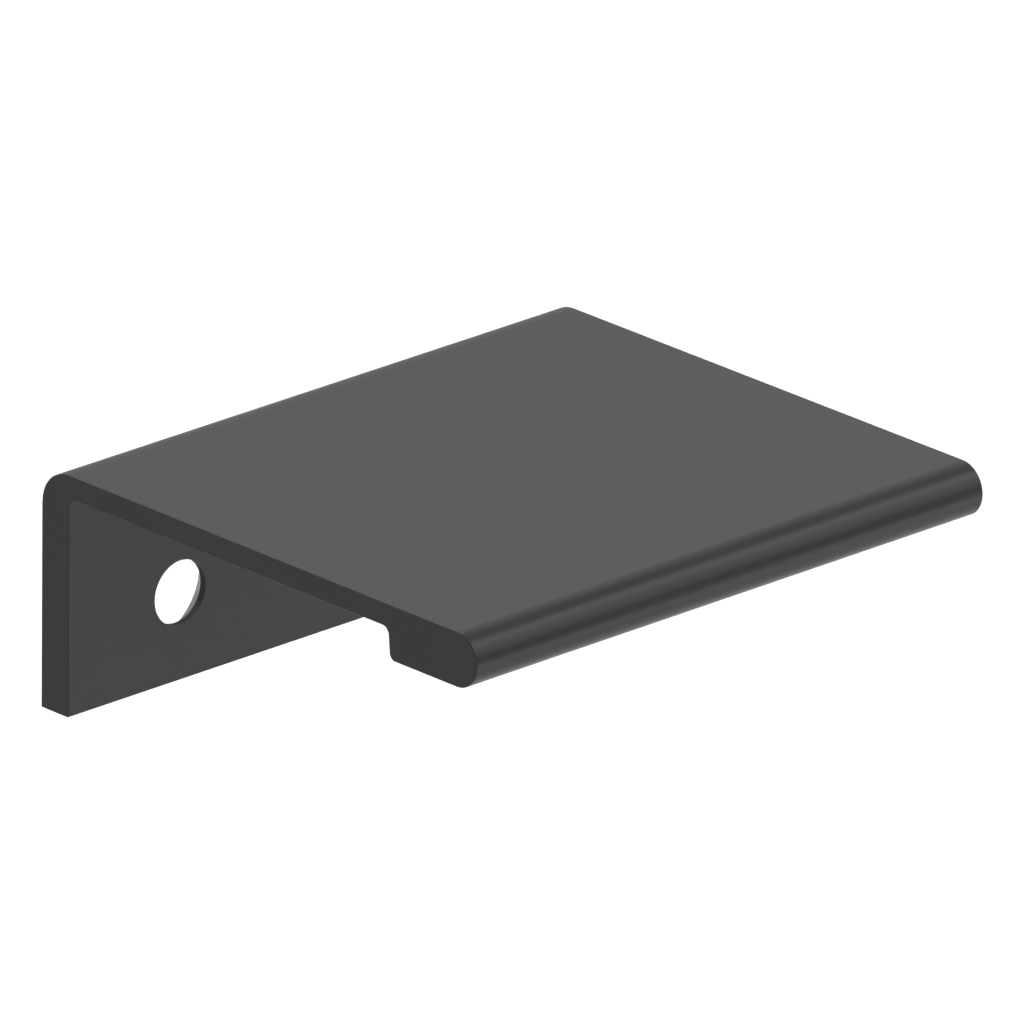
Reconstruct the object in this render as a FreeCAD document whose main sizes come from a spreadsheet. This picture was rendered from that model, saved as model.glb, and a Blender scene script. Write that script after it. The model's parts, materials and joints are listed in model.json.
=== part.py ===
"""Tab pull for a drawer or door edge: one extruded length of aluminium section with two countersunk screw holes.

The section is an upside-down L. A screw leg goes behind the drawer front, a thin plate lies over the front's top
edge, and the plate ends in a full-round nose whose hooked lip the fingers pull on.

Frame, in millimetres: X along the extrusion, -Y to the front, +Z up. The origin is midway between the two screw
holes, on the leg's front face, which seats against the back of the drawer front.
"""
import FreeCAD, Part
import math
import os

import Sketcher

NODE = "tab_pull"

# Driving dimensions, in millimetres and degrees
DIMENSIONS = {
    "length": 40.0,
    "depth": 36.5,
    "height": 15.0,
    "leg_thickness": 2.3,
    "plate_thickness": 1.4,
    "lip_height": 3.35,
    "lip_depth": 7.2,
    "lip_slant": 5.5,
    "bend_outer_radius": 2.25,
    "bend_inner_radius": 0.6,
    "lip_root_radius": 0.5,
    "lip_heel_radius": 0.45,
    "foot_radius": 0.08,
    "end_edge_radius": 0.05,
    "hole_diameter": 4.0,
    "hole_spacing": 22.5,
    "hole_height": 5.45,
    "hole_land": 0.45,
    "countersink_angle": 82.0,
}

doc = FreeCAD.newDocument("TabPull")
sheet = doc.addObject("Spreadsheet::Sheet", "dims")
for row, (alias, value) in enumerate(DIMENSIONS.items(), start=1):
    sheet.set(f"A{row}", alias)
    sheet.set(f"B{row}", str(value))
    sheet.setAlias(f"B{row}", alias)
doc.recompute()

body = doc.addObject("PartDesign::Body", NODE)
body.Label = NODE


def origin_plane(role):
    """One of the body's own three planes."""
    return next(f for f in body.Origin.OriginFeatures if f.Role == role)


def sketch_on(role, name):
    """An empty sketch of the body, lying on one of its planes."""
    sketch = body.newObject("Sketcher::SketchObject", name)
    sketch.AttachmentSupport = (origin_plane(role), [""])
    sketch.MapMode = "FlatFace"
    return sketch


def constrain(sketch, name, expression, *constraint):
    """Adds a named dimension to a sketch and ties it to the sheet."""
    index = sketch.addConstraint(Sketcher.Constraint(*constraint))
    sketch.renameConstraint(index, name)
    sketch.setExpression(f"Constraints.{name}", expression)


# The section, in the sketch's own (y, z), walked counterclockwise from the foot

# A curve's own points, and the two axes, as a sketch numbers them
START, END, CENTRE = range(1, 4)
HORIZONTAL_AXIS, VERTICAL_AXIS = range(-1, -3, -1)


def point(y, z):
    return FreeCAD.Vector(y, z, 0)


def line(y0, z0, y1, z1):
    return Part.LineSegment(point(y0, z0), point(y1, z1))


def arc(y, z, radius, first_angle, last_angle):
    circle = Part.Circle(point(y, z), FreeCAD.Vector(0, 0, 1), radius)
    return Part.ArcOfCircle(circle, math.radians(first_angle), math.radians(last_angle))


def section_outline():
    """Each stretch of the outline by name, at its place for the sizes in the sheet."""
    leg = sheet.leg_thickness
    foot_r = sheet.foot_radius
    outer_r = sheet.bend_outer_radius
    inner_r = sheet.bend_inner_radius
    root_r = sheet.lip_root_radius
    heel_r = sheet.lip_heel_radius
    nose_r = sheet.lip_height / 2
    slant = math.radians(sheet.lip_slant)

    foot_z = -sheet.hole_height
    top_z = foot_z + sheet.height
    under_z = top_z - sheet.plate_thickness
    lip_z = top_z - sheet.lip_height
    nose_y = leg - sheet.depth + nose_r
    corner_y = nose_y - nose_r + sheet.lip_depth

    heel_y = corner_y + heel_r * math.tan(slant) - heel_r / math.cos(slant)
    heel_z = lip_z + heel_r
    root_z = under_z - root_r
    root_y = corner_y + (root_z - lip_z) * math.tan(slant) + root_r / math.cos(slant)
    rear_low = (heel_y + heel_r * math.cos(slant), heel_z - heel_r * math.sin(slant))
    rear_high = (root_y - root_r * math.cos(slant), root_z + root_r * math.sin(slant))

    return {
        "foot": line(foot_r, foot_z, leg - foot_r, foot_z),
        "foot_back": arc(leg - foot_r, foot_z + foot_r, foot_r, 270, 360),
        "leg_back": line(leg, foot_z + foot_r, leg, top_z - outer_r),
        "bend_outer": arc(leg - outer_r, top_z - outer_r, outer_r, 0, 90),
        "plate_top": line(leg - outer_r, top_z, nose_y, top_z),
        "nose": arc(nose_y, top_z - nose_r, nose_r, 90, 270),
        "lip_bottom": line(nose_y, lip_z, heel_y, lip_z),
        "lip_heel": arc(heel_y, heel_z, heel_r, 270, 360 - sheet.lip_slant),
        "lip_rear": line(*rear_low, *rear_high),
        "lip_root": arc(root_y, root_z, root_r, 90, 180 - sheet.lip_slant),
        "plate_under": line(root_y, under_z, -inner_r, under_z),
        "bend_inner": arc(-inner_r, under_z - inner_r, inner_r, 0, 90),
        "leg_front": line(0, under_z - inner_r, 0, foot_z + foot_r),
        "foot_front": arc(foot_r, foot_z + foot_r, foot_r, 180, 270),
        "lip_corner": Part.Point(point(corner_y, lip_z)),
    }


section = sketch_on("YZ_Plane", "section")
outline = section_outline()
edge = {name: section.addGeometry(shape, name == "lip_corner") for name, shape in outline.items()}

# Every stretch runs tangent into the next; the two hollow rounds are walked from their end to their start
hollow = {"lip_root", "bend_inner"}
walk = [name for name in outline if name != "lip_corner"]
for name, following in zip(walk, walk[1:] + walk[:1]):
    leaves_at = START if name in hollow else END
    enters_at = END if following in hollow else START
    section.addConstraint(Sketcher.Constraint("Tangent", edge[name], leaves_at, edge[following], enters_at))

for name in ("foot", "plate_top", "lip_bottom", "plate_under"):
    section.addConstraint(Sketcher.Constraint("Horizontal", edge[name]))
for name in ("leg_back", "leg_front"):
    section.addConstraint(Sketcher.Constraint("Vertical", edge[name]))
section.addConstraint(Sketcher.Constraint("PointOnObject", edge["leg_front"], START, VERTICAL_AXIS))
for name in ("lip_bottom", "lip_rear"):
    section.addConstraint(Sketcher.Constraint("PointOnObject", edge["lip_corner"], START, edge[name]))

for name, alias in (
    ("foot_back", "foot_radius"),
    ("foot_front", "foot_radius"),
    ("bend_outer", "bend_outer_radius"),
    ("bend_inner", "bend_inner_radius"),
    ("lip_root", "lip_root_radius"),
    ("lip_heel", "lip_heel_radius"),
):
    constrain(section, f"{name}_radius", f"dims.{alias}", "Radius", edge[name], sheet.get(alias))

origin = (HORIZONTAL_AXIS, START)
foot_start = (edge["foot"], START)
foot_end = (edge["foot"], END)
top_start = (edge["plate_top"], START)
nose_centre = (edge["nose"], CENTRE)
lip_corner = (edge["lip_corner"], START)
leg_back_end = (edge["leg_back"], END)
lip_bottom_start = (edge["lip_bottom"], START)
plate_under_start = (edge["plate_under"], START)
nose_radius = sheet.lip_height / 2

constrain(section, "leg_thickness", "dims.leg_thickness",
          "DistanceX", *origin, *leg_back_end, sheet.leg_thickness)
constrain(section, "hole_height", "dims.hole_height",
          "DistanceY", *foot_start, *origin, sheet.hole_height)
constrain(section, "height", "dims.height",
          "DistanceY", *foot_end, *top_start, sheet.height)
constrain(section, "plate_thickness", "dims.plate_thickness",
          "DistanceY", *plate_under_start, *top_start, sheet.plate_thickness)
constrain(section, "lip_height", "dims.lip_height",
          "DistanceY", *lip_bottom_start, *top_start, sheet.lip_height)
constrain(section, "depth_to_nose_centre", "dims.depth - dims.lip_height / 2",
          "DistanceX", *nose_centre, *leg_back_end, sheet.depth - nose_radius)
constrain(section, "lip_depth_from_nose_centre", "dims.lip_depth - dims.lip_height / 2",
          "DistanceX", *nose_centre, *lip_corner, sheet.lip_depth - nose_radius)
constrain(section, "lip_rear_angle", "90 deg - dims.lip_slant * 1 deg",
          "Angle", edge["lip_rear"], math.radians(90 - sheet.lip_slant))

extrusion = body.newObject("PartDesign::Pad", "extrusion")
extrusion.Profile = section
extrusion.SideType = "Symmetric"
extrusion.setExpression("Length", "dims.length")
doc.recompute()

# The saw cuts' edges, broken all round both ends

ROUNDING_ERROR = 1e-6


def lies_in_a_cut_end(candidate):
    box = candidate.BoundBox
    return box.XLength < ROUNDING_ERROR and abs(abs(box.XMin) - sheet.length / 2) < ROUNDING_ERROR


end_edges = [f"Edge{i}" for i, e in enumerate(extrusion.Shape.Edges, start=1) if lies_in_a_cut_end(e)]
broken_ends = body.newObject("PartDesign::Fillet", "broken_ends")
broken_ends.Base = (extrusion, end_edges)
broken_ends.setExpression("Radius", "dims.end_edge_radius")
doc.recompute()

# Two screw holes through the leg, countersunk from the back down to a short straight land at the front face

hole_places = sketch_on("XZ_Plane", "hole_places")
hole_places.setExpression("AttachmentOffset.Base.z", "-dims.leg_thickness")
circles = []
for side in (-1, 1):
    centre = FreeCAD.Vector(side * sheet.hole_spacing / 2, 0, 0)
    circle = Part.Circle(centre, FreeCAD.Vector(0, 0, 1), sheet.hole_diameter / 2)
    circles.append(hole_places.addGeometry(circle, False))
left, right = ((circle, CENTRE) for circle in circles)
hole_places.addConstraint(Sketcher.Constraint("Symmetric", *left, *right, *origin))
hole_places.addConstraint(Sketcher.Constraint("PointOnObject", *left, HORIZONTAL_AXIS))
hole_places.addConstraint(Sketcher.Constraint("Equal", *circles))
constrain(hole_places, "spacing", "dims.hole_spacing", "DistanceX", *left, *right, sheet.hole_spacing)
constrain(hole_places, "diameter", "dims.hole_diameter", "Diameter", circles[0], sheet.hole_diameter)
doc.recompute()

holes = body.newObject("PartDesign::Hole", "screw_holes")
holes.Profile = hole_places
holes.Reversed = True
holes.ThreadType = "None"
holes.DepthType = "ThroughAll"
holes.HoleCutType = "Countersink"
holes.HoleCutCustomValues = True
holes.setExpression("Diameter", "dims.hole_diameter")
holes.setExpression("HoleCutCountersinkAngle", "dims.countersink_angle * 1 deg")
holes.setExpression(
    "HoleCutDiameter",
    "dims.hole_diameter + 2 * (dims.leg_thickness - dims.hole_land) * tan(dims.countersink_angle * 1 deg / 2)",
)
doc.recompute()

# Checks before anything is written


def cut_volume():
    """What one countersunk hole takes out of the leg: its land and its cone."""
    land_r = sheet.hole_diameter / 2
    cone = sheet.leg_thickness - sheet.hole_land
    mouth_r = land_r + cone * math.tan(math.radians(sheet.countersink_angle / 2))
    straight = math.pi * land_r**2 * sheet.hole_land
    flared = math.pi * cone * (land_r**2 + land_r * mouth_r + mouth_r**2) / 3
    return straight + flared


VOLUME_SHARE = 1e-3

for thing in doc.Objects:
    if {"Invalid", "Error"} & set(thing.State):
        raise RuntimeError(f"{thing.Name} didn't rebuild: {thing.State}")
if section.solve() != 0 or not section.FullyConstrained:
    raise RuntimeError("the section isn't fully constrained")
if body.Shape.isNull() or not body.Shape.isValid() or len(body.Shape.Solids) != 1:
    raise RuntimeError("the pull isn't one valid solid")
taken_out = broken_ends.Shape.Volume - body.Shape.Volume
if abs(taken_out - 2 * cut_volume()) > VOLUME_SHARE * taken_out:
    raise RuntimeError(f"the screw holes took out {taken_out} mm3, not {2 * cut_volume()} mm3")

os.makedirs("parts", exist_ok=True)
body.Shape.exportStep(f"parts/{NODE}.step")

bounds = body.Shape.optimalBoundingBox()
print(f"{NODE}: {bounds.XLength:.3f} x {bounds.YLength:.3f} x {bounds.ZLength:.3f} mm,", end=" ")
print(f"{body.Shape.Volume:.2f} mm3, {len(body.Shape.Faces)} faces")
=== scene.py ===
import json
import math
from typing import NamedTuple

import bpy
from mathutils import Matrix, Vector


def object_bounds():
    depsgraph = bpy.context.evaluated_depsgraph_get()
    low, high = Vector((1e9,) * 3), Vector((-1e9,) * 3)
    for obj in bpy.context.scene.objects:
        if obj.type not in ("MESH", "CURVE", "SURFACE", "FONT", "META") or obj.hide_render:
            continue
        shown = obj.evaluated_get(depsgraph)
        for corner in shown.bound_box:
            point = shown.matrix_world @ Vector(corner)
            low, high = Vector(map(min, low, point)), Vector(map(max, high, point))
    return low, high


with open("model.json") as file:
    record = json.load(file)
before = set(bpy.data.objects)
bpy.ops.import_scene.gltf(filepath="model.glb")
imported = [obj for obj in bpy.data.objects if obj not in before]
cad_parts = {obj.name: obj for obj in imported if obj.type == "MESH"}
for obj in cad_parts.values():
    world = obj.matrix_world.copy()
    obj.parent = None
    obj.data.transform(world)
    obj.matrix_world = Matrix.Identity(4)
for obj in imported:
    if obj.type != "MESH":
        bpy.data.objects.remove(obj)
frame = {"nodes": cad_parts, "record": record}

cad_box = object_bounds()
scene = bpy.context.scene
MM = 0.001
MICRON = 0.001 * MM

# Camera, at the photograph's viewing angle

IMAGE_PIXELS = 1024
SENSOR_MM = 36.0
PIXELS_PER_MM = 17.36
VIEW_AZIMUTH = -43.554
VIEW_ELEVATION = 21.523
VIEW_ROLL = 0.598
VIEW_DISTANCE = 1.547
AIM_POINT = Vector((1.078, -14.775, 6.090)) * MM


def direction(azimuth, elevation):
    """From the pull towards a place around it: azimuth 0 is straight in front, 90 is to the right."""
    a = math.radians(azimuth)
    e = math.radians(elevation)
    return Vector((math.sin(a) * math.cos(e), -math.cos(a) * math.cos(e), math.sin(e)))


def looking_back(away, distance):
    """A place at some distance from the pull, turned so that its own -Z axis points back at it."""
    turn = away.to_track_quat("Z", "Y").to_matrix().to_4x4()
    return Matrix.Translation(AIM_POINT + away * distance) @ turn


def set_camera():
    data = bpy.data.cameras.new("camera")
    data.sensor_width = SENSOR_MM
    data.lens = PIXELS_PER_MM / MM * VIEW_DISTANCE * SENSOR_MM / IMAGE_PIXELS
    camera = bpy.data.objects.new("camera", data)
    place = looking_back(direction(VIEW_AZIMUTH, VIEW_ELEVATION), VIEW_DISTANCE)
    camera.matrix_world = place @ Matrix.Rotation(math.radians(VIEW_ROLL), 4, "Z")
    scene.collection.objects.link(camera)
    scene.camera = camera


set_camera()


# Materials: one value in a node tree, and the tree itself


class Wire:
    """The output of a node, which Python's operators pass on through Math nodes."""

    def __init__(self, finish, socket):
        self.finish = finish
        self.socket = socket

    def math(self, operation, *values):
        sockets = dict(enumerate(values))
        return self.finish.add("ShaderNodeMath", {"operation": operation}, sockets, "Value")

    def __add__(self, other):
        return self.math("ADD", self, other)

    def __radd__(self, other):
        return self.math("ADD", other, self)

    def __sub__(self, other):
        return self.math("SUBTRACT", self, other)

    def __rsub__(self, other):
        return self.math("SUBTRACT", other, self)

    def __mul__(self, other):
        return self.math("MULTIPLY", self, other)

    def __rmul__(self, other):
        return self.math("MULTIPLY", other, self)

    def __pow__(self, other):
        return self.math("POWER", self, other)

    def __lt__(self, other):
        return self.math("LESS_THAN", self, other)

    def __gt__(self, other):
        return self.math("GREATER_THAN", self, other)

    def __abs__(self):
        return self.math("ABSOLUTE", self)


class Mark(NamedTuple):
    """A kind of mark on a surface: how fine it is, and how far it changes tone, roughness and height."""

    per_mm: float
    detail: float
    tone: float
    roughness: float
    microns: float


class Finish:
    """A material, built up node by node."""

    def __init__(self, name):
        self.material = bpy.data.materials.new(name)
        self.material.use_nodes = True
        self.tree = self.material.node_tree

    def fill(self, node, sockets):
        """Gives a node's sockets their values or links."""
        for socket, value in sockets.items():
            if isinstance(value, Wire):
                self.tree.links.new(value.socket, node.inputs[socket])
            else:
                node.inputs[socket].default_value = value

    def add(self, kind, settings, sockets, output):
        """Adds a node, sets it up, fills its sockets and gives one of its outputs."""
        node = self.tree.nodes.new(kind)
        for setting, value in settings.items():
            setattr(node, setting, value)
        self.fill(node, sockets)
        return Wire(self, node.outputs[output])

    def surface(self, sockets):
        """Fills the sockets of the shader itself."""
        self.fill(self.tree.nodes["Principled BSDF"], sockets)

    def position(self):
        """A point's place on the pull, in millimetres."""
        metres = self.add("ShaderNodeTexCoord", {}, {}, "Object")
        sockets = {0: metres, "Scale": 1 / MM}
        return self.add("ShaderNodeVectorMath", {"operation": "SCALE"}, sockets, "Vector")

    def split(self, vector):
        """The three parts of a vector."""
        node = self.add("ShaderNodeSeparateXYZ", {}, {"Vector": vector}, "X").socket.node
        return [Wire(self, socket) for socket in node.outputs]

    def stretched(self, vector, scale):
        """A vector with each part scaled by itself: a pattern gets longer where the scale is small."""
        sockets = {0: vector, 1: scale}
        return self.add("ShaderNodeVectorMath", {"operation": "MULTIPLY"}, sockets, "Vector")

    def patches(self, vector, mark):
        """Soft random patches, from -1 to 1."""
        sockets = {"Vector": vector, "Scale": mark.per_mm, "Detail": mark.detail}
        return 2.0 * self.add("ShaderNodeTexNoise", {}, sockets, "Fac") - 1.0

    def lines(self, distance, mark):
        """Random lines, from -1 to 1, square to the way in which the distance grows."""
        settings = {"noise_dimensions": "1D"}
        sockets = {"W": distance, "Scale": mark.per_mm, "Detail": mark.detail}
        return 2.0 * self.add("ShaderNodeTexNoise", settings, sockets, "Fac") - 1.0

    def ramp(self, value, low, high):
        """Rises smoothly from 0 to 1 as a value goes from low to high."""
        settings = {"interpolation_type": "SMOOTHSTEP"}
        sockets = {"Value": value, "From Min": low, "From Max": high}
        return self.add("ShaderNodeMapRange", settings, sockets, "Result")

    def blend(self, share, first, second):
        """One colour turning into another."""
        sockets = {"Factor": share, 6: first, 7: second}
        return self.add("ShaderNodeMix", {"data_type": "RGBA"}, sockets, 2)

    def relief(self, microns):
        """The surface's own direction, tilted by a height in microns."""
        sockets = {"Strength": 1.0, "Distance": MICRON, "Height": microns}
        return self.add("ShaderNodeBump", {}, sockets, "Normal")


def grey(value):
    return (value, value, value, 1.0)


# The pull: satin black anodising over an extruded, sawn and countersunk blank

mounts = {mount["name"]: mount for mount in frame["record"]["mounts"]}
screw_holes = mounts["screw_holes"]["dims"]

# Lengths in millimetres, with the saw's centre in front of the blank's end and below it
HALF_LENGTH = cad_box[1].x / MM
LEG_THICKNESS = cad_box[1].y / MM
BROKEN_EDGE = 0.05
HOLE_FROM_MIDDLE = screw_holes["spacing_x_mm"] / 2
HOLE_RADIUS = screw_holes["hole_r_mm"]
HOLE_REACH = 2 * HOLE_RADIUS
MARGIN = 0.02
SAW_Y = -95.0
SAW_Z = -90.0

# The anodising, and how much rougher it is on the cut faces
DARK_DYE = grey(0.0215)
PALE_DYE = grey(0.0285)
EVEN_TONE = 0.5
SATIN_ROUGHNESS = 0.32
SAWN_ROUGHER = 0.05
BORED_ROUGHER = 0.3
SHEEN = 0.375

# Marks left by the die, the saw and the countersink, the grain of the etch, and dye that took unevenly
DIE_LINE = Mark(per_mm=2.6, detail=3.0, tone=0.4, roughness=0.02, microns=1.8)
SAW_LINE = Mark(per_mm=4.5, detail=3.0, tone=0.5, roughness=0.03, microns=3.0)
TURNING_MARK = Mark(per_mm=7.0, detail=2.0, tone=0.0, roughness=0.03, microns=3.0)
GRAIN = Mark(per_mm=14.0, detail=2.0, tone=0.3, roughness=0.02, microns=3.0)
DYE_PATCH = Mark(per_mm=0.16, detail=2.0, tone=0.5, roughness=0.012, microns=0.0)
DIE_LINE_STRETCH = (0.02, 1.0, 1.0)
DYE_PATCH_STRETCH = (0.4, 1.0, 1.0)


def total(patterns, effect):
    """All the patterns added up, each by its mark's share in one effect."""
    shares = [(getattr(mark, effect), pattern) for mark, pattern in patterns]
    return sum(share * pattern for share, pattern in shares if share)


def black_anodising():
    finish = Finish("black_anodised_aluminium")
    place = finish.position()
    x, y, z = finish.split(place)

    # Where the blank was sawn to length, and where its screw holes were bored and countersunk
    sawn = finish.ramp(abs(x), HALF_LENGTH - 0.6 * BROKEN_EDGE, HALF_LENGTH - 0.1 * BROKEN_EDGE)
    from_hole = ((abs(x) - HOLE_FROM_MIDDLE) ** 2.0 + z ** 2.0) ** 0.5
    turned = (from_hole < HOLE_REACH) * (y > MARGIN) * (y < LEG_THICKNESS - MARGIN)
    bored = turned * (from_hole < HOLE_RADIUS + MARGIN)
    extruded = (1.0 - sawn) * (1.0 - turned)

    from_saw = ((y - SAW_Y) ** 2.0 + (z - SAW_Z) ** 2.0) ** 0.5
    patterns = [
        (DYE_PATCH, finish.patches(finish.stretched(place, DYE_PATCH_STRETCH), DYE_PATCH)),
        (GRAIN, finish.patches(place, GRAIN)),
        (DIE_LINE, finish.patches(finish.stretched(place, DIE_LINE_STRETCH), DIE_LINE) * extruded),
        (SAW_LINE, finish.lines(from_saw, SAW_LINE) * sawn),
        (TURNING_MARK, finish.lines(y, TURNING_MARK) * turned),
    ]
    roughness = SATIN_ROUGHNESS + SAWN_ROUGHER * sawn + BORED_ROUGHER * bored

    finish.surface({
        "Base Color": finish.blend(EVEN_TONE + total(patterns, "tone"), DARK_DYE, PALE_DYE),
        "Roughness": roughness + total(patterns, "roughness"),
        "Specular IOR Level": SHEEN,
        "Normal": finish.relief(total(patterns, "microns")),
    })
    return finish.material


pull = frame["nodes"]["tab_pull"]
pull.material_slots[0].material = black_anodising()


# Studio: a pale floor well below the pull, an even room, and lights for the pull and for the floor

FLOOR_DROP = 0.15
FLOOR_HEIGHT = cad_box[0].z - FLOOR_DROP
FLOOR_SIZE = 6.0
PAPER = grey(0.9)
ROOM_LIGHT = 0.56
SOFT_BOX_DISTANCE = 0.9
OPEN_FACE = 180
FLOOR_LIGHT_HEIGHT = 0.3
FLOOR_LIGHT_GRID = 70


def lay_floor():
    mesh = bpy.data.meshes.new("floor")
    half = FLOOR_SIZE / 2
    corners = [(x, y, FLOOR_HEIGHT) for x, y in ((-half, -half), (half, -half), (half, half), (-half, half))]
    mesh.from_pydata(corners, [], [(0, 1, 2, 3)])
    floor = bpy.data.objects.new("floor", mesh)
    paper = Finish("floor_paper")
    paper.surface({"Base Color": PAPER, "Roughness": 1.0, "Specular IOR Level": 0.0})
    mesh.materials.append(paper.material)
    scene.collection.objects.link(floor)


def light_room():
    world = bpy.data.worlds.new("room")
    world.use_nodes = True
    background = world.node_tree.nodes["Background"]
    background.inputs["Color"].default_value = grey(1.0)
    background.inputs["Strength"].default_value = ROOM_LIGHT
    scene.world = world


def hang_light(name, width, height, watts, grid_angle, place):
    """A rectangular light that shines along its own -Z axis, with a grid that narrows its beam."""
    data = bpy.data.lights.new(name, "AREA")
    data.shape = "RECTANGLE"
    data.size = width
    data.size_y = height
    data.energy = watts
    data.spread = math.radians(grid_angle)
    light = bpy.data.objects.new(name, data)
    light.matrix_world = place
    scene.collection.objects.link(light)


def soft_box(name, azimuth, elevation, width, height, watts, grid_angle=OPEN_FACE):
    """A light that faces the pull."""
    place = looking_back(direction(azimuth, elevation), SOFT_BOX_DISTANCE)
    hang_light(name, width, height, watts, grid_angle, place)


def floor_light(name, x, y, width, watts):
    """A square light that looks straight down at the floor, with a grid that keeps it off the pull."""
    place = Matrix.Translation((x, y, FLOOR_HEIGHT + FLOOR_LIGHT_HEIGHT))
    hang_light(name, width, width, watts, FLOOR_LIGHT_GRID, place)


lay_floor()
light_room()
floor_light("floor_behind", x=0.28, y=0.28, width=0.32, watts=0.2)
floor_light("floor_in_front", x=0.29, y=-0.29, width=0.22, watts=0.235)
soft_box("behind_right", azimuth=126, elevation=31, width=0.7, height=0.5, watts=0.315)
soft_box("behind_left", azimuth=-155, elevation=52, width=0.6, height=0.45, watts=0.38, grid_angle=60)
soft_box("front_right_high", azimuth=54, elevation=42, width=0.6, height=0.26, watts=1.02)
soft_box("front_right_low", azimuth=45, elevation=22, width=0.6, height=0.36, watts=0.66)
scene.view_settings.view_transform = "Standard"
